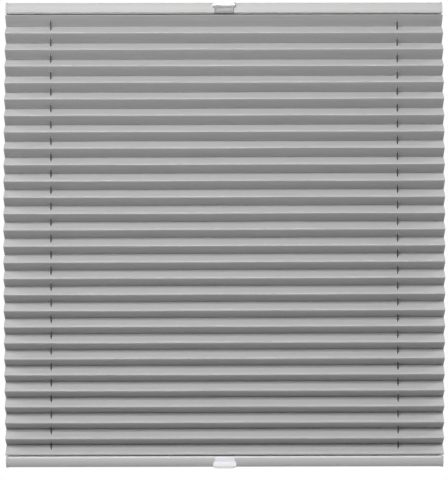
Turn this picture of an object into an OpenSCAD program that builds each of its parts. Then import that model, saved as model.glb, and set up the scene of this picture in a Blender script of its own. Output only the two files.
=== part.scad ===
// Pleated blind with two sliding rails on taut cords.
// X runs along the rails, -Y faces the room and +Z is up.
// The origin is the middle of the upper rail's flat top face.

/* [Blind] */
// Width over the end caps of the rails
blind_w = 450; // [300:5:1200]
// Height from the top of the upper rail to the underside of the lower rail
blind_drop = 478; // [440:1:900]

/* [Rails] */
// Height of the rail section
rail_h = 11; // [10.5:0.5:14]
// Depth of the rail section from front to back
rail_d = 21; // [20:0.5:28]
// Wall of the extrusion
rail_wall = 1.2; // [0.8:0.1:1.4]
// Radius of the rounded front and back
rail_side_r = 9.5; // [8.5:0.1:10]
// Height of that radius' centre above the rail's outer face
rail_side_z = 7.5; // [6:0.1:8]
// Width of the slot that the fabric leaves by
slot_w = 4; // [3:0.5:8]
// Depth of the solid edges in front of and behind the strip channel
edge_d = 3.7; // [3.3:0.1:5]
// Height of the channel that holds the fabric strip
channel_h = 2.4; // [2.2:0.1:2.8]
// Web between the strip channel and the cord chamber
web_t = 1; // [0.8:0.1:1.2]
// Depth of the step along the edges that the handle hooks into
step_h = 1; // [0.8:0.1:1.4]

/* [End caps] */
// Thickness of the plate that closes the rail
cap_t = 2.4; // [1.5:0.1:4]
// How far the plate stands proud of the rail section
cap_lip = 0.5; // [0.2:0.1:1]
// Length of the plug inside the cord chamber
cap_plug = 12; // [6:1:25]

/* [Handles] */
// Width of the neck at the fabric side
neck_w = 20; // [14:0.5:22]
// Width of the grip
grip_w = 24; // [22:0.5:48]
// Height of the grip
grip_h = 7.4; // [7:0.1:9]
// Corner radius of the grip
grip_r = 3.5; // [2:0.1:3.5]
// Wall of the handle where it clips round the rail
handle_wall = 1.5; // [1.2:0.1:2.5]
// How far the grip stands in front of the rail
grip_reach = 5.5; // [4:0.1:6.5]
// How far the grip reaches past the rail's outer face
grip_past = 0.9; // [0.5:0.1:1.5]
// Thickness of the grip's rim under the finger hollow
rim_t = 2.3; // [2:0.1:3]
// Radius of the finger hollow
hollow_r = 5.2; // [4.8:0.1:7]

/* [Fabric] */
// Whole pleats between the rails
pleats = 27; // [22:1:30]
// Width of one pleat face, from fold to fold
pleat_face = 20; // [17:0.5:20]
// Thickness of the cloth
fabric_t = 0.4; // [0.3:0.05:0.6]
// How far the cloth reaches past the rail at each end
fabric_past = 1; // [0:0.1:2]
// Height from where the cloth leaves a rail to the nearest fold
first_fold = 0.8; // [0.5:0.1:3]
// How far the folds between the first and the last hang below even spacing
pleat_sag = 1.2; // [0:0.1:2]
// How much wider the top pleats hang than the mean, and the bottom ones narrower
pleat_stretch = 0.023; // [0:0.001:0.05]
// Length of the cloth's edge that the strip holds
tab_l = 1.3; // [1:0.1:1.4]
// Width of the oval cord holes
cord_hole_w = 2.2; // [2:0.1:3]
// Length of the oval cord holes, from front to back
cord_hole_l = 4.4; // [3:0.1:6]

/* [Cords] */
// Diameter of the cord
cord_d = 1.4; // [0.8:0.1:1.6]
// Distance of the cords from the ends of the rails
cord_inset = 46; // [30:1:100]
// Diameter of the stop crimped on each cord end
stop_d = 3.6; // [2.5:0.1:4]
// Length of the stop
stop_l = 2.4; // [1.5:0.1:2.4]
// Length of the cord guide along the rail
guide_l = 14; // [10:0.5:25]
// Diameter of the guide's collar in the rail's outer wall
collar_d = 7; // [6:0.1:8]
// Diameter of the cord's way through web and strip
way_d = 3; // [2:0.1:3.5]
// Width of the guide's pocket for the crossing cords
pocket_w = 4; // [3.6:0.1:6]
// Height of the guide's pocket for the crossing cords
pocket_h = 2; // [1.8:0.1:2]

/* [Clearances] */
// Between a rail and the pieces pushed into it
rail_fit = 0.15; // [0.05:0.05:0.2]
// Between a handle and the rail it clips round
handle_fit = 0.1; // [0.05:0.05:0.2]
// Between a cord or its stop and the guide
cord_fit = 0.1; // [0.05:0.05:0.2]
// Between the cloth and the end caps, and in all across the strip's groove
cloth_fit = 0.3; // [0.15:0.05:0.4]
// Depth of a cord stop below the rail's outer face
stop_sink = 0.3; // [0.1:0.1:0.5]
// Between a crossing cord's end and the hanging cord
cross_gap = 0.6; // [0.4:0.1:1]

/* [Hidden] */
$fn = 64;
// How far a cut runs past the face that it opens
over = 1;

// Rail: heights are measured from its outer face towards the fabric
side_y = rail_d / 2 - rail_side_r;
rail_l = blind_w - 2 * cap_t;
channel_w = rail_d - 2 * edge_d;
channel_top = rail_h - rail_wall;
channel_floor = channel_top - channel_h;
chamber_top = channel_floor - web_t;
chamber_h = chamber_top - rail_wall;
chamber_floor_y = side_y + sqrt(pow(rail_side_r - rail_wall, 2) - pow(rail_side_z - rail_wall, 2));
step_y = channel_w / 2 + rail_wall;

// Cords and guides: the pocket lies midway between the stop's seat and the top of the guide
cord_x = blind_w / 2 - cord_inset;
guide_w = 2 * (chamber_floor_y - rail_fit);
stop_top = stop_sink + stop_l;
seat_top = stop_top + cord_fit;
pocket_floor = (seat_top + chamber_top - rail_fit - pocket_h) / 2;
cross_y = pocket_w / 4;
cross_z = pocket_floor + cord_fit + cord_d / 2;
cross_l = 2 * (cord_x - cord_d / 2 - cross_gap);

// Cloth: it leaves a rail half a face behind the first fold, which is a front one, and so is the last
folds = 2 * pleats + 1;
cap_top = rail_h + cap_lip + cloth_fit;
exit_z = cap_top + fabric_t;
fold_span = blind_drop - 2 * (exit_z + first_fold);
face_h = fold_span / (folds - 1);
pleat_depth = sqrt(pow(pleat_face, 2) - pow(face_h, 2));
fabric_w = blind_w + 2 * fabric_past;
tab_w = rail_l - 2 * cloth_fit;
groove_w = fabric_t + cloth_fit;

rail_grey = [0.80, 0.80, 0.80];
cap_grey = [0.74, 0.74, 0.74];
cloth_grey = [0.70, 0.70, 0.70];
cord_grey = [0.27, 0.27, 0.28];
clear_white = [0.90, 0.90, 0.92];
inner_white = [0.86, 0.86, 0.85];

// Places: a rail is drawn with its outer face at height 0 and its fabric face at rail_h
module on_lower_rail() { translate([0, 0, -blind_drop]) children(); }
module on_upper_rail() { mirror([0, 0, 1]) children(); }
module at_left() { mirror([1, 0, 0]) children(); }

// A section in the YZ plane carried along X
module along_rail(x0, x1) {
    translate([x0, 0, 0]) rotate([90, 0, 90]) linear_extrude(x1 - x0) children();
}

// What lies on the near side of one rounded side of the rail, grown by a margin
module within_side(grow) {
    side_r = rail_side_r + grow;
    translate([side_y, rail_side_z]) circle(r = side_r);
    translate([-rail_d, rail_side_z - side_r]) square([rail_d + side_y, 2 * side_r]);
}

// Section of the rail with its rounded front and back, grown by a margin
module rail_outline(grow = 0) {
    intersection() {
        within_side(grow);
        mirror([1, 0]) within_side(grow);
        translate([-rail_d, -grow]) square([2 * rail_d, rail_h + 2 * grow]);
    }
}

// Cord chamber of the section, shrunk by a margin
module chamber_outline(shrink = 0) {
    intersection() {
        rail_outline(-rail_wall - shrink);
        translate([-rail_d, rail_wall + shrink]) square([2 * rail_d, chamber_h - 2 * shrink]);
    }
}

module rail_section() {
    difference() {
        rail_outline();
        chamber_outline();
        translate([-channel_w / 2, channel_floor]) square([channel_w, channel_h]);
        translate([-slot_w / 2, channel_floor + channel_h / 2]) square([slot_w, rail_h]);
        for (side = [0, 1])
            mirror([side, 0]) translate([step_y, rail_h - step_h]) square([rail_d, step_h + over]);
    }
}

module rail() {
    color(rail_grey)
    difference() {
        along_rail(-rail_l / 2, rail_l / 2) rail_section();
        for (x = [-cord_x, cord_x]) translate([x, 0, 0]) {
            translate([0, 0, -over]) cylinder(d = collar_d + 2 * rail_fit, h = rail_wall + 2 * over);
            translate([0, 0, chamber_top - over]) cylinder(d = way_d, h = web_t + 2 * over);
        }
    }
}

// Plate that closes the rail, with a plug in the cord chamber
module end_cap() {
    color(cap_grey)
    union() {
        along_rail(rail_l / 2, blind_w / 2) rail_outline(cap_lip);
        along_rail(rail_l / 2 - cap_plug, blind_w / 2 - cap_t / 2) chamber_outline(rail_fit);
    }
}

// Bar in the rail's channel that grips the edge of the cloth in a groove
module fabric_strip() {
    strip_l = rail_l - 2 * rail_fit;
    strip_w = channel_w - 2 * rail_fit;
    strip_h = channel_h - 2 * rail_fit;
    color(inner_white)
    difference() {
        translate([-strip_l / 2, -strip_w / 2, channel_floor + rail_fit]) cube([strip_l, strip_w, strip_h]);
        translate([-rail_l / 2, -groove_w / 2, channel_top - tab_l - cloth_fit])
            cube([rail_l, groove_w, tab_l + cloth_fit + over]);
        for (x = [-cord_x, cord_x])
            translate([x, 0, channel_floor]) cylinder(d = way_d, h = channel_h);
    }
}

// Block in the cord chamber: a seat for the cord stop, a bore, and a pocket for the crossing cords
module cord_guide() {
    color(inner_white)
    translate([cord_x, 0, 0])
    difference() {
        union() {
            translate([-guide_l / 2, -guide_w / 2, rail_wall + rail_fit])
                cube([guide_l, guide_w, chamber_h - 2 * rail_fit]);
            cylinder(d = collar_d, h = chamber_top / 2);
        }
        translate([0, 0, -over]) cylinder(d = cord_d + 2 * cord_fit, h = rail_h + over);
        translate([0, 0, -over]) cylinder(d = stop_d + 2 * cord_fit, h = seat_top + over);
        translate([-guide_l / 2 - over, -pocket_w / 2, pocket_floor])
            cube([guide_l / 2 + over, pocket_w, pocket_h]);
    }
}

// Stretch of cord inside a rail, from guide to guide
module crossing_cord(side) {
    color(cord_grey)
    translate([-cross_l / 2, side * cross_y, cross_z])
        rotate([0, 90, 0]) cylinder(d = cord_d, h = cross_l);
}

module cord_stop() {
    color(inner_white)
    translate([cord_x, 0, stop_sink]) cylinder(d = stop_d, h = stop_l);
}

// Stretch of cord from the stop in one rail to the stop in the other
module hanging_cord() {
    color(cord_grey)
    translate([cord_x, 0, stop_top - blind_drop]) cylinder(d = cord_d, h = blind_drop - 2 * stop_top);
}

// Side view of the handle: a shell round the rail's front, a hook over its step and a hollowed grip
module handle_section() {
    shell_r = rail_side_r + handle_fit + handle_wall;
    shell_y = side_y + shell_r;
    back_y = step_y + handle_fit;
    grip_y = rail_d / 2 + grip_reach;
    hollow_z = rim_t - grip_past + hollow_r;
    difference() {
        intersection() {
            union() {
                translate([-side_y, rail_side_z]) circle(r = shell_r);
                translate([-grip_y, -grip_past]) square([grip_y - back_y, grip_h]);
            }
            translate([-grip_y, -grip_past]) square([grip_y - back_y, rail_h + grip_past]);
        }
        intersection() {
            rail_outline(handle_fit);
            translate([-rail_d, -over]) square([2 * rail_d, rail_h - step_h + handle_fit + over]);
        }
        translate([-shell_y - hollow_r, hollow_z]) circle(r = hollow_r);
        translate([-grip_y - over, hollow_z]) square([grip_y + over - shell_y, rail_h]);
    }
}

// Front view of the handle: a straight neck above a wider grip with round corners
module handle_outline() {
    translate([-neck_w / 2, grip_h / 2 - grip_past]) square([neck_w, rail_h + grip_past - grip_h / 2]);
    translate([-grip_w / 2, grip_r - grip_past]) square([grip_w, grip_h - 2 * grip_r]);
    translate([grip_r - grip_w / 2, -grip_past]) square([grip_w - 2 * grip_r, grip_h]);
    for (x = [-1, 1], z = [grip_r, grip_h - grip_r])
        translate([x * (grip_w / 2 - grip_r), z - grip_past]) circle(r = grip_r);
}

module handle() {
    color(clear_white)
    intersection() {
        along_rail(-grip_w / 2, grip_w / 2) handle_section();
        rotate([90, 0, 0]) linear_extrude(2 * rail_d, center = true) handle_outline();
    }
}

// Height of a fold, counted from 1 at the upper rail
function fold_z(i) =
    let (t = (i - 1) / (folds - 1), sag = i > 1 && i < folds ? pleat_sag : 0)
    -exit_z - first_fold - fold_span * (t + pleat_stretch * t * (1 - t)) - sag;

// Middle line of the cloth in section: tab, folds in turn to front and back, tab
cloth_line = concat(
    [[0, tab_l - channel_top], [0, -exit_z]],
    [for (i = [1 : folds]) [(i % 2 == 0 ? 1 : -1) * pleat_depth / 2, fold_z(i)]],
    [[0, exit_z - blind_drop], [0, channel_top - tab_l - blind_drop]]
);

// Unit vector to the front of a stretch of that line
function front_of(i) =
    let (k = min(max(i, 0), len(cloth_line) - 2), run = cloth_line[k + 1] - cloth_line[k])
    [run[1], -run[0]] / norm(run);

// Point of the line moved to the front, with its corners mitred
function beside_line(i, by) =
    let (above = front_of(i - 1), below = front_of(i))
    cloth_line[i] + by * (above + below) / (1 + above * below);

// Closed outline of the cloth in section: down its front and up its back
function cloth_outline() =
    let (last = len(cloth_line) - 1)
    concat(
        [for (i = [0 : last]) beside_line(i, fabric_t / 2)],
        [for (i = [last : -1 : 0]) beside_line(i, -fabric_t / 2)]
    );

// Room for the end caps beside the cloth's tab
module tab_notch() {
    for (side = [0, 1])
        mirror([side, 0, 0]) translate([tab_w / 2, -fabric_t, 0]) cube([fabric_w, 2 * fabric_t, cap_top]);
}

// Oval cord hole with flats, the same through every face
module cord_hole() {
    linear_extrude(blind_drop)
        polygon([for (turn = [0 : 30 : 330]) [cord_hole_w / 2 * cos(turn), cord_hole_l / 2 * sin(turn)]]);
}

module pleated_fabric() {
    color(cloth_grey)
    difference() {
        along_rail(-fabric_w / 2, fabric_w / 2) polygon(cloth_outline());
        on_upper_rail() tab_notch();
        on_lower_rail() tab_notch();
        for (x = [-cord_x, cord_x]) translate([x, 0, -blind_drop]) cord_hole();
    }
}

pleated_fabric();
at_left() hanging_cord();  // left_cord
hanging_cord();  // right_cord
on_upper_rail() at_left() cord_stop();  // upper_left_cord_stop
on_upper_rail() cord_stop();  // upper_right_cord_stop
on_lower_rail() at_left() cord_stop();  // lower_left_cord_stop
on_lower_rail() cord_stop();  // lower_right_cord_stop

on_upper_rail() rail();  // upper_rail
on_upper_rail() at_left() end_cap();  // upper_left_end_cap
on_upper_rail() end_cap();  // upper_right_end_cap
on_upper_rail() fabric_strip();  // upper_fabric_strip
on_upper_rail() at_left() cord_guide();  // upper_left_cord_guide
on_upper_rail() cord_guide();  // upper_right_cord_guide
on_upper_rail() crossing_cord(-1);  // upper_front_crossing_cord
on_upper_rail() crossing_cord(1);  // upper_rear_crossing_cord
on_upper_rail() handle();  // upper_handle

on_lower_rail() rail();  // lower_rail
on_lower_rail() at_left() end_cap();  // lower_left_end_cap
on_lower_rail() end_cap();  // lower_right_end_cap
on_lower_rail() fabric_strip();  // lower_fabric_strip
on_lower_rail() at_left() cord_guide();  // lower_left_cord_guide
on_lower_rail() cord_guide();  // lower_right_cord_guide
on_lower_rail() crossing_cord(-1);  // lower_front_crossing_cord
on_lower_rail() crossing_cord(1);  // lower_rear_crossing_cord
on_lower_rail() handle();  // lower_handle
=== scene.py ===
import math

import bpy
import numpy as np
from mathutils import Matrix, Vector
from mathutils.geometry import tessellate_polygon


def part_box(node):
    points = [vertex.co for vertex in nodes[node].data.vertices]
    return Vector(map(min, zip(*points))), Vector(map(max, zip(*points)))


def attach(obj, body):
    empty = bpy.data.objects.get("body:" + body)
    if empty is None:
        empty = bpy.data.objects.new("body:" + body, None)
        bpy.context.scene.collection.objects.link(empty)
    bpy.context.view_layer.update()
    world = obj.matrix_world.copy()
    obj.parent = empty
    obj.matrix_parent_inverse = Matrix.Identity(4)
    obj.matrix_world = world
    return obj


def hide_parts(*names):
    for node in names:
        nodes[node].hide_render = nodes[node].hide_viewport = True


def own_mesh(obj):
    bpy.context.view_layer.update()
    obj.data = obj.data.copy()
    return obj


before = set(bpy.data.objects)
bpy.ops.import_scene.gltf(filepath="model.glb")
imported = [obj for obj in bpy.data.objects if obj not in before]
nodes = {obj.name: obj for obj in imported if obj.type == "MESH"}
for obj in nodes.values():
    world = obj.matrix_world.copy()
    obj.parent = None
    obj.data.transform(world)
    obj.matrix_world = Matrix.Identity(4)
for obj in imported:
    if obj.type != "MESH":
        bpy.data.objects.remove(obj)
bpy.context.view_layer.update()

# Rails: two lengths of one aluminium extrusion, satin anodised in pale grey. A slot in the fabric side opens
# into the strip's channel, and a web parts that from the chamber for the crossing cords. The outer face is
# drilled for the cord guides and the web for the cords. The upper rail is the lower one turned over.
mm = 0.001
rail_low, rail_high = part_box("lower_rail")
rail_half = rail_high.x
rail_h = rail_high.z - rail_low.z
rail_wall = 1.2 * mm
side_r = 9.5 * mm
side_y, side_z = 1.0 * mm, 7.5 * mm
side_points, chamber_side_points = 24, 12
step_h = 1.0 * mm
step_y = 8.0 * mm
slot_half = 2.0 * mm
channel_half = 6.8 * mm
channel_h = 2.4 * mm
web_t = 1.0 * mm
edge_ease = 0.3 * mm
cord_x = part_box("right_cord")[0].lerp(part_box("right_cord")[1], 0.5).x
collar_r = 3.65 * mm
way_r = 1.5 * mm
ring_slack = 1e-3  # as a share of a hole's radius
tiny = 1e-9  # keeps a division from zero
even_half, even_stations = 150 * mm, 11  # the stretch between the holes
channel_top = rail_h - rail_wall
channel_floor = channel_top - channel_h
chamber_top = channel_floor - web_t
lip_highlight_h = 2.2 * mm  # how far down from the slot the painted highlight fades out
rail_dark, rail_light = (0.47, 0.47, 0.47), (0.515, 0.515, 0.51)
# Painted light on the lip by the slot: a painted highlight on the lower rail's edge, which also lightens the
# upper rail's shaded edge.
lip_highlight_colour = (0.68, 0.68, 0.68)
rail_rough = (0.42, 0.52)
die_line_scale = (3, 1400, 1400)
die_line_depth = 0.02 * mm


def rail_side(radius, low, high, count):
    """Points on the rail's rounded side, from one height to another: an arc about (side_y, side_z)."""
    angle = np.linspace(math.asin((low - side_z) / radius), math.asin((high - side_z) / radius), count)
    return np.stack([side_y + radius * np.cos(angle), side_z + radius * np.sin(angle)], 1)


def both_sides(half):
    """A closed outline from its +Y half, which runs from the middle of its low side to that of its high."""
    return np.concatenate([half, (half * [-1, 1])[-2:0:-1]])


def eased(outline, cuts, steps=4):
    """A closed outline with each corner cut back along both of its sides and bridged by a parabola."""
    share = np.linspace(0, 1, steps + 1)[:, None]
    back = np.roll(outline, 1, axis=0) - outline
    ahead = np.roll(outline, -1, axis=0) - outline
    back /= np.linalg.norm(back, axis=1)[:, None]
    ahead /= np.linalg.norm(ahead, axis=1)[:, None]
    bends = [
        corner + cut * ((1 - share) ** 2 * b + share**2 * a) if cut else corner[None]
        for corner, b, a, cut in zip(outline, back, ahead, cuts)
    ]
    return np.concatenate(bends)


def eased_section(half, cuts):
    """A closed outline from its +Y half, with the corners of both halves eased by the same cuts."""
    return eased(both_sides(half), np.concatenate([cuts, cuts[-2:0:-1]]))


def tube_faces(rings, points_round):
    """Quads between closed rings, facing outwards if the rings turn anticlockwise as seen from ahead."""
    ring, point = np.meshgrid(np.arange(rings - 1), np.arange(points_round), indexing="ij")
    following = (point + 1) % points_round
    corners = [ring * points_round + point, ring * points_round + following]
    corners += [corner + points_round for corner in corners[::-1]]
    return np.stack(corners, -1).reshape(-1, 4)


def snapped(x, y, half_w, half_l):
    """Grid points with those round a cord's hole moved onto its oval, and how far out each point lies."""
    centre = np.where(x < 0, -cord_x, cord_x)
    across, along = (x - centre) / half_w, y / half_l
    reach = np.maximum(np.abs(across), np.abs(along))
    on_ring = np.isclose(reach, 1, atol=ring_slack)
    scale = np.where(on_ring, 1 / np.hypot(across, along).clip(tiny), 1)
    return centre + across * scale * half_w, along * scale * half_l, reach


def add_piece(name, points, faces, material, sharp=35):
    """A mesh object at the origin with smooth faces that break where they meet at more than that angle."""
    mesh = bpy.data.meshes.new(name)
    mesh.from_pydata(points.tolist(), [], [list(face) for face in faces])
    mesh.shade_smooth()
    mesh.set_sharp_from_angle(angle=math.radians(sharp))
    mesh.materials.append(material)
    piece = bpy.data.objects.new(name, mesh)
    bpy.context.scene.collection.objects.link(piece)
    return piece


def mark_points(piece, name, values):
    """Keeps a number for each point of a piece, which its finish reads by that name."""
    piece.data.attributes.new(name, "FLOAT", "POINT").data.foreach_set("value", values)


def on_rail(points, rail):
    """Points drawn from a rail's outer face, set on the lower rail or turned over about Y for the upper."""
    if rail == "lower":
        return points + [0, 0, rail_low.z]
    return points * [-1, 1, -1]


def add_node(tree, kind, inputs=None, **settings):
    """A shader node with its settings, and with its inputs set to values or joined to other sockets."""
    made = tree.nodes.new(kind)
    for key, value in settings.items():
        setattr(made, key, value)
    for key, value in (inputs or {}).items():
        if isinstance(value, bpy.types.NodeSocket):
            tree.links.new(value, made.inputs[key])
        else:
            made.inputs[key].default_value = value
    return made


def new_finish(name, **values):
    """A material whose Principled shader has those values, with its node tree and that shader."""
    material = bpy.data.materials.new(name)
    material.use_nodes = True
    shader = material.node_tree.nodes["Principled BSDF"]
    for key, value in values.items():
        shader.inputs[key.replace("_", " ")].default_value = value
    return material, material.node_tree, shader


def streaks(tree, source, scale, detail=3.0):
    """Noise stretched by a different scale along each axis of its source coordinates."""
    placed = add_node(tree, "ShaderNodeMapping", {"Vector": source, "Scale": scale})
    return add_node(
        tree, "ShaderNodeTexNoise",
        {"Vector": placed.outputs["Vector"], "Scale": 1.0, "Detail": detail, "Roughness": 0.6},
    ).outputs["Fac"]


def spread_over(tree, share, low, high, ends=(0.3, 0.7)):
    """A colour or value that goes from low to high while a share goes from one of its ends to the other."""
    ramp = add_node(tree, "ShaderNodeValToRGB", {"Fac": share})
    for stop, place, value in zip(ramp.color_ramp.elements, ends, (low, high)):
        stop.position = place
        stop.color = (*value, 1) if isinstance(value, tuple) else (value, value, value, 1)
    return ramp.outputs["Color"]


def mixed(tree, share, first, second):
    """A colour from the first to the second, as a share goes from 0 to 1."""
    return add_node(
        tree, "ShaderNodeMix", {"Factor": share, "A": first, "B": second}, data_type="RGBA"
    ).outputs["Result"]


def raise_by(tree, shader, height, distance, strength=1.0):
    """Bump of that height on the shader's normal."""
    bump = add_node(
        tree, "ShaderNodeBump", {"Height": height, "Distance": distance, "Strength": strength}
    )
    tree.links.new(bump.outputs["Normal"], shader.inputs["Normal"])


def anodised_finish():
    """Satin aluminium with fine lengthwise lines that the die leaves, and painted light: paler on the lip by
    the slot.
    """
    material, tree, shader = new_finish("satin_anodised", Metallic=0.05, Specular_IOR_Level=0.25)
    place = add_node(tree, "ShaderNodeTexCoord").outputs["Object"]
    lines = streaks(tree, place, die_line_scale)
    body = spread_over(tree, lines, rail_dark, rail_light)
    # The lip's paler colour is a painted highlight, not a colour of the metal.
    lip = add_node(tree, "ShaderNodeAttribute", attribute_name="lip").outputs["Fac"]
    tree.links.new(mixed(tree, lip, body, (*lip_highlight_colour, 1)), shader.inputs["Base Color"])
    tree.links.new(spread_over(tree, lines, *rail_rough), shader.inputs["Roughness"])
    raise_by(tree, shader, lines, die_line_depth)
    return material


hole_reach = np.array([0, way_r, 2 / 3 * collar_r, collar_r])
outer_flat = [[reach, 0] for reach in hole_reach]
outer_side = rail_side(side_r, 0, rail_h - step_h, side_points)
lip_corners = [[step_y, rail_h - step_h], [step_y, rail_h], [slot_half, rail_h], [slot_half, channel_top]]
channel_corners = [[channel_half, channel_top], [channel_half, channel_floor]]
web_line = [[way_r, channel_floor], [0, channel_floor]]
outer_half = np.concatenate([outer_flat, outer_side, lip_corners, channel_corners, web_line])
first_side = len(outer_flat)
last_side = first_side + side_points - 1
outer_cuts = np.zeros(len(outer_half))
outer_cuts[first_side] = edge_ease
outer_cuts[last_side:last_side + 1 + len(lip_corners)] = edge_ease
chamber_half = np.concatenate([
    [[reach, rail_wall] for reach in hole_reach],
    rail_side(side_r - rail_wall, rail_wall, chamber_top, chamber_side_points),
    [[way_r, chamber_top], [0, chamber_top]],
])
outer_loop = eased_section(outer_half, outer_cuts)
chamber_loop = both_sides(chamber_half)
hole_steps = np.concatenate([-hole_reach[:0:-1], hole_reach])
stations = np.concatenate([
    [-rail_half], -cord_x + hole_steps, np.linspace(-even_half, even_half, even_stations),
    cord_x + hole_steps, [rail_half],
])


def swept_wall(loop, holes):
    """One wall of the rail: a closed outline at every station along X, with round holes in its flats."""
    x, index = np.meshgrid(stations, np.arange(len(loop)), indexing="ij")
    y, z = loop[index, 0], loop[index, 1]
    points = np.stack([x, y, z], -1)
    kept = tube_faces(len(stations), len(loop))
    rims = []
    for height, radius in holes:
        moved_x, moved_y, reach = snapped(x, y, radius, radius)
        flat = np.isclose(z, height)
        points[flat] = np.stack([moved_x, moved_y, z], -1)[flat]
        reach = np.where(flat, reach, np.inf).ravel()
        kept = kept[(reach[kept] > 1 + ring_slack).any(1)]
        for side in (-1, 1):
            rim = np.flatnonzero(np.isclose(reach, 1, atol=ring_slack) & (x.ravel() * side > 0))
            turn = np.arctan2(moved_y.ravel()[rim], moved_x.ravel()[rim] - side * cord_x)
            rims.append(rim[np.argsort(turn)])
    return points.reshape(-1, 3), kept, rims


def rail_mesh():
    """The rail's outer and chamber walls, the rims of its holes for collars and cords, and its sawn ends."""
    outer_points, outer_quads, outer_rims = swept_wall(outer_loop, [(0, collar_r), (channel_floor, way_r)])
    chamber_points, chamber_quads, chamber_rims = swept_wall(
        chamber_loop, [(rail_wall, collar_r), (chamber_top, way_r)]
    )
    shift = len(outer_points)
    faces = outer_quads.tolist() + (chamber_quads[:, ::-1] + shift).tolist()
    # The two collar holes lead up into the chamber, and the cords' two ways lead down into it.
    for outside, inside, order in zip(outer_rims, chamber_rims, (1, 1, -1, -1)):
        inside = inside + shift
        rim = np.stack([outside, inside, np.roll(inside, -1), np.roll(outside, -1)], 1)
        faces += rim[:, ::order].tolist()
    # Both ends are the same triangles of the section, turned to face outwards.
    loops = [[Vector((y, z, 0)) for y, z in loop] for loop in (outer_loop, chamber_loop)]
    ends = np.array(tessellate_polygon(loops))
    flat = np.concatenate([outer_loop, chamber_loop])
    a, b, c = flat[ends[:, 0]], flat[ends[:, 1]], flat[ends[:, 2]]
    clockwise = (b - a)[:, 0] * (c - a)[:, 1] < (b - a)[:, 1] * (c - a)[:, 0]
    ends[clockwise] = ends[clockwise][:, ::-1]
    in_outer = ends < len(outer_loop)
    first = np.where(in_outer, ends, ends - len(outer_loop) + shift)
    last_outer = (len(stations) - 1) * len(outer_loop)
    last_chamber = (len(stations) - 1) * len(chamber_loop)
    last = np.where(in_outer, first + last_outer, first + last_chamber)
    faces += first[:, ::-1].tolist() + last.tolist()
    return np.concatenate([outer_points, chamber_points]), faces


rail_finish = anodised_finish()
rail_points, rail_faces = rail_mesh()
# The painted highlight's share: one on the lip by the slot, fading to none 2.2 mm further down.
lip_highlight_share = np.interp(rail_points[:, 2], [rail_h - lip_highlight_h, rail_h - step_h], [0, 1])
for rail in ("upper", "lower"):
    extrusion = add_piece(f"{rail}_rail_extrusion", on_rail(rail_points, rail), rail_faces, rail_finish)
    mark_points(extrusion, "lip", lip_highlight_share)
    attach(extrusion, f"{rail}_rail")
    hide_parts(f"{rail}_rail")

# End caps: grey plastic mouldings that close the rails. Each is a plate a little larger than the section,
# with a rounded outer edge, on a plug that is pushed into the cord chamber.
cap_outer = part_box("lower_right_end_cap")[1].x
cap_lip = 0.5 * mm
cap_round, cap_round_rings = 0.9 * mm, 6
cap_bevel = 0.15 * mm
cap_ease = 0.7 * mm
cap_side_points = 14
cap_plug = 12 * mm
plug_fit = 0.15 * mm
plug_lead = 0.5 * mm
mottle_scale = (60, 60, 60)
grain_scale = (900, 900, 900)
grain_depth = 0.03 * mm


def section_ring(grow, low, high):
    """The rail's section grown by a margin and cut off level at two heights: a closed outline in Y and Z."""
    side = rail_side(side_r + grow, low, high, cap_side_points)
    half = np.concatenate([[[0, low], [side[0, 0] / 2, low]], side, [[side[-1, 0] / 2, high], [0, high]]])
    cuts = np.zeros(len(half))
    cuts[[2, -3]] = cap_ease
    return eased_section(half, cuts)


def plate_ring(inset):
    """The plate's outline, drawn in by an inset."""
    return section_ring(cap_lip - inset, inset - cap_lip, rail_h + cap_lip - inset)


def closed_tube(rings, points_round):
    """The faces of a tube of closed rings, with one face over each of its ends."""
    first = np.arange(points_round)[::-1]
    last = np.arange(points_round) + points_round * (rings - 1)
    return [*tube_faces(rings, points_round).tolist(), first.tolist(), last.tolist()]


def cap_mesh():
    """The cap for the +X end: plug rings, then plate rings whose outer edge turns a quarter circle."""
    grow, low, high = -rail_wall - plug_fit, rail_wall + plug_fit, chamber_top - plug_fit
    plug = section_ring(grow, low, high)
    plug_end = rail_half - cap_plug
    rings = [
        (plug_end, section_ring(grow - plug_lead, low + plug_lead, high - plug_lead)),
        (plug_end + plug_lead, plug),
        (rail_half, plug),
        (rail_half, plate_ring(cap_bevel)),
        (rail_half + cap_bevel, plate_ring(0)),
    ]
    for turn in np.linspace(0, math.pi / 2, cap_round_rings):
        x = cap_outer - cap_round * (1 - math.sin(turn))
        rings.append((x, plate_ring(cap_round * (1 - math.cos(turn)))))
    points = np.concatenate([np.insert(ring, 0, x, axis=1) for x, ring in rings])
    return points, closed_tube(len(rings), len(plug))


def moulded_finish(name, dark, light, rough):
    """Moulded plastic with a fine spark-eroded grain and slight mottling of its colour."""
    material, tree, shader = new_finish(name)
    place = add_node(tree, "ShaderNodeTexCoord").outputs["Object"]
    mottle = streaks(tree, place, mottle_scale)
    grains = streaks(tree, place, grain_scale, detail=1.0)
    tree.links.new(spread_over(tree, mottle, dark, light), shader.inputs["Base Color"])
    tree.links.new(spread_over(tree, grains, *rough), shader.inputs["Roughness"])
    raise_by(tree, shader, grains, grain_depth)
    return material


cap_finish = moulded_finish(
    "grey_moulding", dark=(0.43, 0.43, 0.43), light=(0.48, 0.48, 0.48), rough=(0.37, 0.49)
)
cap_points, cap_faces = cap_mesh()
other_end = {"right": "left", "left": "right"}
for rail in ("upper", "lower"):
    for side, turn in (("right", 1), ("left", -1)):
        points = on_rail(cap_points * [turn, turn, 1], rail)
        end = side if rail == "lower" else other_end[side]
        cap = add_piece(f"{rail}_{end}_cap_moulding", points, cap_faces, cap_finish)
        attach(cap, f"{rail}_rail")
        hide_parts(f"{rail}_{end}_end_cap")

# Cord guides, cord stops and fabric strips: small white mouldings inside the rails. Only the guides'
# collars and the stops show in the outer faces, and the strips through the slots.
inner_finish = moulded_finish(
    "white_moulding", dark=(0.70, 0.70, 0.69), light=(0.78, 0.78, 0.77), rough=(0.40, 0.52)
)
for name, node in nodes.items():
    if name.endswith(("_cord_guide", "_cord_stop", "_fabric_strip")):
        node.data.materials[0] = inner_finish

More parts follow.
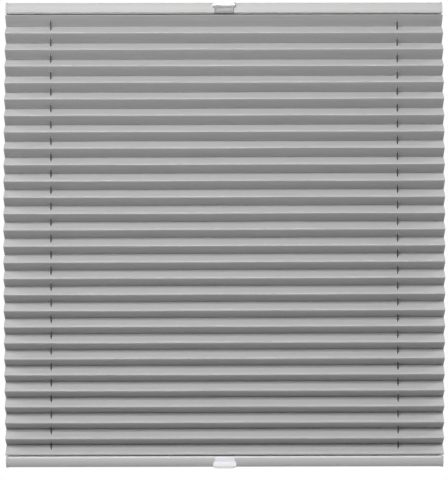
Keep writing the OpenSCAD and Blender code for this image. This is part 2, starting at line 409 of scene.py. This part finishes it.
# Cords: dark grey braided polyester, 1.4 mm thick. Two hang taut from stop to stop through the cloth, and
# the same cords cross over inside the rails, where nothing of them shows.
cord_low, cord_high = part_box("right_cord")
cord_r = (cord_high.x - cord_low.x) / 2
braid_depth = 0.06  # as a share of the cord's radius
braid_pitch = 2.0 * mm
braid_strands = 4
braid_rings_a_pitch = 8
braid_sides = 16
braid_dark, braid_light = (0.030, 0.030, 0.032), (0.055, 0.055, 0.057)
fleck_scale = (1500, 1500, 500)
fleck_depth = 0.05 * mm


def braid_mesh(x):
    """A straight tube whose radius rises and falls with cos(strands * angle) * cos(turns along it)."""
    length = cord_high.z - cord_low.z
    rings = int(length / braid_pitch * braid_rings_a_pitch)
    along, angle = np.meshgrid(
        np.linspace(0, length, rings), np.arange(braid_sides) * 2 * math.pi / braid_sides, indexing="ij"
    )
    weave = np.cos(braid_strands * angle) * np.cos(2 * math.pi * along / braid_pitch)
    radius = cord_r * (1 - braid_depth * (1 - weave) / 2)
    points = np.stack([x + radius * np.cos(angle), radius * np.sin(angle), cord_low.z + along], -1)
    return points.reshape(-1, 3), closed_tube(rings, braid_sides)


def braid_finish():
    """Dull dark polyester with paler flecks where the strands rise."""
    material, tree, shader = new_finish("dark_braid", Roughness=0.8, Sheen_Weight=0.2)
    place = add_node(tree, "ShaderNodeTexCoord").outputs["Object"]
    flecks = streaks(tree, place, fleck_scale, detail=2.0)
    tree.links.new(spread_over(tree, flecks, braid_dark, braid_light), shader.inputs["Base Color"])
    raise_by(tree, shader, flecks, fleck_depth)
    return material


cord_finish = braid_finish()
for side, x in (("left", -cord_x), ("right", cord_x)):
    points, faces = braid_mesh(x)
    braid = add_piece(f"{side}_braid", points, faces, cord_finish, sharp=80)
    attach(braid, "cords")
    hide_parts(f"{side}_cord")
for name, node in nodes.items():
    if name.endswith("_crossing_cord"):
        node.data.materials[0] = cord_finish

# Cloth: one length of grey woven polyester, pressed into faces of 20 mm and punched for the cords. Its two
# edges are gripped by the strips in the rails. It is made here as two halves that meet in the middle fold,
# because each half is pushed together by its own rail.
cloth_low, cloth_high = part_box("pleated_fabric")
cloth_half = cloth_high.x
cloth_t = 0.4 * mm
folds = 55
middle_fold = (folds + 1) // 2
pleat_face = 20 * mm
tab_l = 3.7 * mm
tab_half = 222.3 * mm
hole_w, hole_l = 1.1 * mm, 2.2 * mm
top_exit = cloth_high.z - tab_l
low_exit = cloth_low.z + tab_l
first_fold = 0.8 * mm  # drop from the upper rail to the first fold, and from the last fold to the lower rail
fold_span = top_exit - low_exit - 2 * first_fold
pleat_depth = math.sqrt(pleat_face**2 - (fold_span / (folds - 1)) ** 2)
pleat_stretch = 0.023  # how much wider than even the top pleats are, and how much narrower the bottom ones
top_sag = 0.8 * mm  # how far the topmost folds hang below their even places, less and less down the cloth
first_rise, last_rise = 0.4 * mm, 0.9 * mm  # how far the first and last folds lie above theirs
rear_top_sag, rear_low_sag = 1.0 * mm, -1.0 * mm  # what the rear folds hang further, at top and bottom
first_tuck = 0.6 * mm  # how far the first fold is set back
light_bow, dark_bow = 0.40 * mm, 0.45 * mm  # of the faces that look up and down
end_roll, end_rise = 3.2 * mm, 0.35  # how far and how soon the last half face rolls down
top_cut, low_cut = 0.9 * mm, 2.4 * mm  # where the bend of a front fold starts, at top and bottom
back_cut, end_cut = 0.9 * mm, 0.25 * mm  # where it starts on a rear fold, and on the first and last
bend_rows, bend_span = 7, 0.06  # rows in a bend, and how much of a count it takes to each side
face_rows = np.array([0.18, 0.30])  # shares of a face, between its bends and its hole
end_rows = [0.07, 0.12, 0.2, 0.3]  # further rows on the last half face, where it rolls
hole_grid = np.linspace(-1, 1, 5)  # rows and columns across a hole
even_columns = 61
merge_digits = 7  # columns that agree to so many places are one
hair = 0.001 * mm  # keeps a limit clear of rounding
wave_seed = 27
wave_lengths = np.array([0.31, 0.19, 0.11, 0.07])
wave_height = 0.16 * mm
wave_fade = 0.3  # a lower power lets the waves run closer to the rails
side_droop = 0.35 * mm  # how far the left end of the middle folds hangs below, and the right end above
bulge_low, bulge_high = -0.6 * mm, 1.6 * mm  # change of the half width at the rails and in the middle
calm_w = 3 * hole_w  # columns this near a cord keep their place
cloth_dark, cloth_light = (0.46, 0.46, 0.46), (0.52, 0.52, 0.52)
thread_pitch = 0.36 * mm
wave_texture_period = 0.314  # of a wave texture at a scale of 1
thread_depth, thread_strength = 0.05 * mm, 0.5
slub_scale = (12, 900, 1)


def cloth_line():
    """The cloth in section, in Y and Z: from the upper rail, by folds to front and back, to the lower."""
    fold = np.arange(folds)
    share = fold / (folds - 1)
    sag = top_sag * (1 - share)
    sag += (fold % 2) * (rear_top_sag + (rear_low_sag - rear_top_sag) * share)
    sag[[0, -1]] = -first_rise, -last_rise
    z = top_exit - first_fold - fold_span * (share + pleat_stretch * share * (1 - share)) - sag
    y = np.where(fold % 2 == 0, -1, 1) * pleat_depth / 2
    y[0] += first_tuck
    return np.concatenate([[[0, top_exit]], np.stack([y, z], 1), [[0, low_exit]]])


def on_face(line, number, share):
    """Points at a share of the way down the faces of those numbers. Light faces bow up, dark ones down."""
    bow = np.where(number % 2 == 0, light_bow, -dark_bow) * np.sin(math.pi * share) * (number > 0)
    bow = np.where(number == folds, -end_roll * share**end_rise * (1 - share), bow)
    straight = line[number] + share[:, None] * (line[number + 1] - line[number])
    return straight + np.stack([np.zeros(len(share)), bow], 1)


def cloth_rows(line):
    """Rows of the grid down the line: a bend at each fold, and on each face rows round the hole and between.

    With each row comes its count: the number of the fold above it plus the share of the way to the next.
    """
    fold = np.arange(1, folds + 1)
    cut = np.where(fold % 2 == 1, np.interp(fold, [1, folds], [top_cut, low_cut]), back_cut)
    cut[[0, -1]] = end_cut
    run = np.linalg.norm(np.diff(line, axis=0), axis=1)
    before = on_face(line, fold - 1, 1 - cut / run[:-1]) - line[fold]
    after = on_face(line, fold, cut / run[1:]) - line[fold]
    part = np.linspace(0, 1, bend_rows)[:, None]
    bends = line[fold, None] + (1 - part) ** 2 * before[:, None] + part**2 * after[:, None]
    hole_share = hole_grid * hole_l / pleat_depth
    share = np.concatenate([face_rows, 0.5 + hole_share, 1 - face_rows[::-1]])
    faces = on_face(line, np.repeat(fold[:-1], len(share)), np.tile(share, folds - 1))
    between = np.concatenate([bends[:-1], faces.reshape(folds - 1, -1, 2)], axis=1).reshape(-1, 2)
    half_share = np.append(2 * hole_share[hole_grid >= 0], 0.5)
    upper = line[0] + half_share[:, None] * (line[1] - line[0])
    end_share = np.concatenate([end_rows, 1 - half_share[::-1]])
    lower = on_face(line, np.full(len(end_share), folds), end_share)
    top_edge, low_edge = line[0] + [0, tab_l], line[-1] - [0, tab_l]
    rows = np.concatenate([[top_edge], upper, between, bends[-1], lower, [low_edge]])
    turn = np.linspace(-bend_span, bend_span, bend_rows)
    number = fold[:-1, None]
    count = np.concatenate([
        [0], half_share, np.concatenate([number + turn, number + share], axis=1).ravel(),
        folds + turn, folds + end_share, [folds + 1],
    ])
    return rows, count


def cloth_columns():
    """Where the columns of the grid lie along X: evenly, and close together round the holes."""
    even = np.linspace(-cloth_half, cloth_half, even_columns)
    even = even[np.abs(np.abs(even) - cord_x) > 2 * hole_w]
    holes = hole_grid * hole_w
    columns = np.concatenate([even, holes - cord_x, holes + cord_x, [-tab_half, tab_half]])
    return np.unique(columns.round(merge_digits))


def fold_waves(x, count):
    """Slight seeded unevenness: for each fold a sum of a few long waves along X, faded out at the rails."""
    draws = np.random.default_rng(wave_seed)
    shape = (folds + 2, len(wave_lengths))
    phases = draws.uniform(0, 2 * math.pi, shape)
    heights = draws.normal(0, 1, shape) * wave_lengths / wave_lengths.sum()
    lower = np.floor(count).astype(int).clip(0, folds)
    share = (count - lower)[..., None]
    angles = 2 * math.pi * x[..., None] / wave_lengths
    above = heights[lower] * np.sin(angles + phases[lower])
    below = heights[lower + 1] * np.sin(angles + phases[lower + 1])
    waves = ((1 - share) * above + share * below).sum(-1)
    return waves * np.sin(math.pi * count / (folds + 1)) ** wave_fade


def cloth_mesh(line, rows, count, length):
    """The grid of one half: columns along X and rows down the line, snapped to the holes, a bit uneven.

    With its points and quads comes the place of each point on the flat cloth, in metres.
    """
    x, index = np.meshgrid(cloth_columns(), np.arange(len(rows)), indexing="xy")
    face_lean = np.diff(line[:, 1]) / np.diff(line[:, 0])
    lean = face_lean[np.floor(count).astype(int).clip(0, folds)]
    x, y, reach = snapped(x, rows[index, 0], hole_w, hole_l)
    in_hang = count[index]
    swell = np.sin(math.pi * in_hang / (folds + 1))
    z = rows[index, 1] + lean[index] * (y - rows[index, 0])
    z += wave_height * fold_waves(x, in_hang) + side_droop * swell * x / cloth_half
    width = 1 + (bulge_low + (bulge_high - bulge_low) * swell) / cloth_half
    points = np.stack([x * np.where(np.abs(np.abs(x) - cord_x) < calm_w, 1, width), y, z], -1)
    cut = np.stack([x + cloth_half, length[index]], -1)
    corner = np.arange(x.size).reshape(x.shape)
    corners = [corner[:-1, :-1], corner[1:, :-1], corner[1:, 1:], corner[:-1, 1:]]
    quads = np.stack(corners, -1).reshape(-1, 4)
    in_hole = (reach.ravel()[quads] < 1 + ring_slack).all(1)
    in_tab = (rows[:, 1] > top_exit) | (rows[:, 1] < low_exit)
    past_side = np.abs(x).ravel()[quads] > tab_half + hair
    past_tab = in_tab[index].ravel()[quads].any(1) & past_side.any(1)
    return points.reshape(-1, 3), quads[~in_hole & ~past_tab], cut.reshape(-1, 2)


def weave_finish():
    """Plain polyester weave on the flat cloth's own metres: fine warp and weft threads, with faint slubs."""
    material, tree, shader = new_finish(
        "grey_weave", Roughness=0.9, Specular_IOR_Level=0.2, Sheen_Weight=0.05, Sheen_Roughness=0.5
    )
    cut = add_node(tree, "ShaderNodeUVMap", uv_map="cut").outputs["UV"]
    warp, weft = (
        add_node(
            tree, "ShaderNodeTexWave",
            {"Vector": cut, "Scale": wave_texture_period / thread_pitch, "Distortion": 0.6, "Detail": 1.0},
            bands_direction=direction,
        ).outputs["Fac"]
        for direction in ("X", "Y")
    )
    threads = add_node(tree, "ShaderNodeMath", {0: warp, 1: weft}, operation="MAXIMUM").outputs["Value"]
    slubs = streaks(tree, cut, slub_scale)
    tree.links.new(spread_over(tree, slubs, cloth_dark, cloth_light), shader.inputs["Base Color"])
    raise_by(tree, shader, threads, thread_depth, thread_strength)
    return material


cloth_finish = weave_finish()
line = cloth_line()
rows, count = cloth_rows(line)
length = np.insert(np.cumsum(np.linalg.norm(np.diff(rows, axis=0), axis=1)), 0, 0)
middle_z = rows[count == middle_fold, 1].item()
halves = {
    "upper": (count <= middle_fold, top_exit, "upper_rail_drop"),
    "lower": (count >= middle_fold, low_exit, "lower_rail_lift"),
}
for half, (taken, exit_z, joint) in halves.items():
    points, quads, cut = cloth_mesh(line, rows[taken], count[taken], length[taken])
    cloth = add_piece(f"{half}_cloth", points, quads, cloth_finish, sharp=180)
    corner_places = cut[quads.ravel()].astype(np.float32)
    cloth.data.uv_layers.new(name="cut").uv.foreach_set("vector", corner_places.ravel())
    # Edges with one face are sharp, so that the rims of the wall don't bend the shading beside them.
    edge_of = np.empty(len(cloth.data.loops), int)
    cloth.data.loops.foreach_get("edge_index", edge_of)
    cloth.data.edges.foreach_set("use_edge_sharp", np.bincount(edge_of) == 1)
    thickness = cloth.modifiers.new("thickness", "SOLIDIFY")
    thickness.thickness = cloth_t
    thickness.offset = 0
    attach(cloth, "cords")
    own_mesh(cloth)
    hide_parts("pleated_fabric")

# Handles: clear, slightly milky plastic clips that snap round the front of the rails. A straight neck hooks
# over the rail's step, and a wider grip with a finger hollow stands out at the rail's outer edge.
neck_half = 10 * mm
grip_half = 12 * mm
grip_low, grip_high = -0.9 * mm, 6.5 * mm
grip_middle = (grip_low + grip_high) / 2
grip_r = 3.5 * mm
grip_front = -16 * mm
handle_back = -8.1 * mm
shell_r = 11.1 * mm
inner_r = 9.6 * mm
hollow_r = 5.2 * mm
hollow_y, hollow_z = -17.3 * mm, 6.6 * mm
hook_z = 10.1 * mm
blend_w = 0.5 * mm
low_round, high_round = 0.7 * mm, 0.3 * mm
front_round, back_round = 0.8 * mm, 0.15 * mm
round_rows, even_rows = 6, 46
corner_points, flat_points = 5, 9
lip_end, lip_fade = 0.8 * mm, 1.0 * mm  # where the lip's painted light ends, and over what height it fades into the neck's
handle_rough = (0.10, 0.18)
flow_scale = (80, 200, 200)
flow_depth = 0.04 * mm


def softer_max(a, b, width):
    """The larger of two values, with the corner where they cross rounded over that width."""
    return (a + b + np.sqrt((a - b) ** 2 + width**2)) / 2


def handle_rows():
    """Heights of the handle's rings and how far each is drawn in: a round at both ends, even rows between."""
    turn = np.linspace(0, math.pi / 2, round_rows)
    low = grip_low + low_round * (1 - np.cos(turn))
    high = rail_h - high_round * (1 - np.cos(turn))[::-1]
    even = np.linspace(low[-1], high[0], even_rows)[1:-1]
    even = np.sort(np.concatenate([even, [hook_z - hair, hook_z + hair]]))
    inset = np.concatenate([
        low_round * (1 - np.sin(turn)), np.zeros(len(even)), high_round * (1 - np.sin(turn))[::-1],
    ])
    return np.concatenate([low, even, high]), inset


def handle_mesh():
    """A stack of rounded rectangles: half width, front and back all follow from the height of the ring."""
    z, inset = handle_rows()
    past = (np.abs(z - grip_middle) - ((grip_high - grip_low) / 2 - grip_r)).clip(0, grip_r)
    neck = np.where(z > grip_middle, neck_half, 0)
    half = softer_max(grip_half - grip_r + np.sqrt(grip_r**2 - past**2), neck, blend_w) - inset
    hollow = hollow_y + np.sqrt((hollow_r**2 - (z - hollow_z) ** 2).clip(0))
    shell = -side_y - np.sqrt(shell_r**2 - (z - side_z) ** 2)
    front = softer_max(grip_front, np.where(z < hollow_z, hollow, shell), blend_w) + inset
    against_rail = -side_y - np.sqrt((inner_r**2 - (z - side_z) ** 2).clip(0))
    back = np.where(z > hook_z, handle_back, np.minimum(against_rail, handle_back))
    turn = np.linspace(0, math.pi / 2, corner_points)
    flat = np.linspace(-1, 1, flat_points)[1:-1]
    rings = []
    for sx, sy, angle, radius in (
        (-1, -1, math.pi, front_round), (1, -1, 1.5 * math.pi, front_round),
        (1, 1, 0, back_round), (-1, 1, 0.5 * math.pi, back_round),
    ):
        edge = front if sy < 0 else back
        x = sx * (half - radius)[:, None] + radius * np.cos(angle + turn)
        y = (edge - sy * radius)[:, None] + radius * np.sin(angle + turn)
        rings.append(np.stack([x, y], -1))
        if sx * sy > 0:
            span = (half - radius)[:, None] * flat * -sx
            rings.append(np.stack([span, np.broadcast_to(edge[:, None], span.shape)], -1))
    outline = np.concatenate(rings, axis=1)
    height = np.broadcast_to(z[:, None, None], (*outline.shape[:2], 1))
    points = np.concatenate([outline, height], -1).reshape(-1, 3)
    return points, closed_tube(len(z), outline.shape[1])


def handle_finish(name, clearness, lip_tint_and_painted_light, neck_tint_and_painted_light):
    """Polished plastic, more or less clear, with painted light in its tint from lip to neck, and faint lines
    of its flow.
    """
    material, tree, shader = new_finish(name, IOR=1.49, Transmission_Weight=clearness)
    place = add_node(tree, "ShaderNodeTexCoord").outputs["Object"]
    flow = streaks(tree, place, flow_scale)
    depth = add_node(tree, "ShaderNodeAttribute", attribute_name="depth").outputs["Fac"]
    # The tint moves from the lip's to the neck's, which paints light and shade onto the plastic.
    tree.links.new(mixed(tree, depth, (*lip_tint_and_painted_light, 1), (*neck_tint_and_painted_light, 1)), shader.inputs["Base Color"])
    tree.links.new(spread_over(tree, flow, *handle_rough), shader.inputs["Roughness"])
    raise_by(tree, shader, flow, flow_depth)
    return material


# Both handles get a tint painted from lip to neck. The upper has a pale lip, a painted reflection, and a
# darker neck, painted shade. The lower has a darker bottom edge, painted shade. The upper is given clearer
# than the lower.
handle_looks = {
    "upper": handle_finish(
        "clear_plastic_painted_light", clearness=0.6, lip_tint_and_painted_light=(0.90, 0.90, 0.91), neck_tint_and_painted_light=(0.52, 0.52, 0.53)
    ),
    "lower": handle_finish(
        "milky_plastic_painted_light", clearness=0.12, lip_tint_and_painted_light=(0.78, 0.78, 0.80), neck_tint_and_painted_light=(0.83, 0.83, 0.87)
    ),
}
handle_points, handle_faces = handle_mesh()
# The share from the lip's painted light to the neck's, by height in the handle.
handle_painted_light_share = np.interp(handle_points[:, 2], [lip_end, lip_end + lip_fade], [0, 1])
for rail in ("upper", "lower"):
    points = on_rail(handle_points, rail)
    handle = add_piece(f"{rail}_handle_clip", points, handle_faces, handle_looks[rail], sharp=50)
    mark_points(handle, "depth", handle_painted_light_share)
    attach(handle, f"{rail}_rail")
    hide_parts(f"{rail}_handle")

# Floor: a plain pale sheet under the hanging blind. It shows pale to the camera and adds no light to the
# blind, and it still takes the blind's shadow.
floor_z = -1.5
floor_half = 1.6
floor_colour = (0.82, 0.82, 0.82, 1)
floor_glow = 0.55
white = (1, 1, 1, 1)


def seen_rays(tree):
    """One on the rays that show the surround: from the camera, in reflections and through clear plastic."""
    path = add_node(tree, "ShaderNodeLightPath")
    seen = path.outputs["Is Camera Ray"]
    for ray in ("Is Glossy Ray", "Is Transmission Ray"):
        seen = add_node(
            tree, "ShaderNodeMath", {0: seen, 1: path.outputs[ray]}, operation="MAXIMUM"
        ).outputs["Value"]
    return seen


floor_mesh = bpy.data.meshes.new("floor")
floor_corners = [
    (sx * floor_half, sy * floor_half, floor_z) for sx, sy in ((-1, -1), (1, -1), (1, 1), (-1, 1))
]
floor_mesh.from_pydata(floor_corners, [], [(0, 1, 2, 3)])
floor_finish, floor_tree, floor_shader = new_finish(
    "pale_floor", Base_Color=floor_colour, Roughness=0.9, Emission_Color=white
)
glow = add_node(
    floor_tree, "ShaderNodeMath", {0: seen_rays(floor_tree), 1: floor_glow}, operation="MULTIPLY"
).outputs["Value"]
floor_tree.links.new(glow, floor_shader.inputs["Emission Strength"])
floor_mesh.materials.append(floor_finish)
floor = bpy.data.objects.new("floor", floor_mesh)
bpy.context.scene.collection.objects.link(floor)

# Light: a broad lamp in front and a little above, one behind for the back and a weaker one at each end. The
# surround shows white to the camera, in reflections and through clear plastic, and adds little light.
# Each lamp has its power in watts, its width and height in metres, and its place.
surround_level = 0.01
light_aim = Vector((0, 0, -0.24))
lamps = {
    "key_lamp": (21.0, 0.7, 0.9, Vector((-0.15, -1.2, 0.30))),
    "back_lamp": (21.0, 0.7, 0.9, Vector((0.15, 1.2, 0.30))),
    "left_lamp": (10.0, 0.5, 0.9, Vector((-1.4, 0, 0.30))),
    "right_lamp": (10.0, 0.5, 0.9, Vector((1.4, 0, 0.30))),
}
world = bpy.data.worlds.new("surround")
world.use_nodes = True
bpy.context.scene.world = world
world_tree = world.node_tree
level = add_node(
    world_tree, "ShaderNodeMapRange",
    {"Value": seen_rays(world_tree), "To Min": surround_level, "To Max": 1.0},
).outputs["Result"]
world_tree.links.new(level, world_tree.nodes["Background"].inputs["Strength"])
world_tree.nodes["Background"].inputs["Color"].default_value = white
for name, (power, width, height, place) in lamps.items():
    lamp = bpy.data.objects.new(name, bpy.data.lights.new(name, "AREA"))
    lamp.data.energy = power
    lamp.data.shape = "RECTANGLE"
    lamp.data.size, lamp.data.size_y = width, height
    lamp.visible_glossy = False
    lamp.location = place
    lamp.rotation_euler = (light_aim - place).to_track_quat("-Z", "Y").to_euler()
    bpy.context.scene.collection.objects.link(lamp)

# Camera: square to the blind from 2.69 m, a little below its middle and tipped up by less than a degree. The
# photo's height and its focal length in pixels give the lens.
focal_px = 2600
image_h = 480
sensor = 36
view_reach = 20
camera_place = (-0.014, -2.6855, -0.2673)
tip_up, lean, turn_right = math.radians(0.487), math.radians(0.1), math.radians(0.29)
camera = bpy.data.objects.new("camera", bpy.data.cameras.new("camera"))
camera.data.sensor_width = sensor
camera.data.lens = focal_px / image_h * sensor
camera.data.clip_end = view_reach
camera.location = camera_place
camera.rotation_euler = (math.pi / 2 + tip_up, lean, -turn_right)
bpy.context.scene.collection.objects.link(camera)
bpy.context.scene.camera = camera
bpy.context.scene.view_settings.view_transform = "Standard"
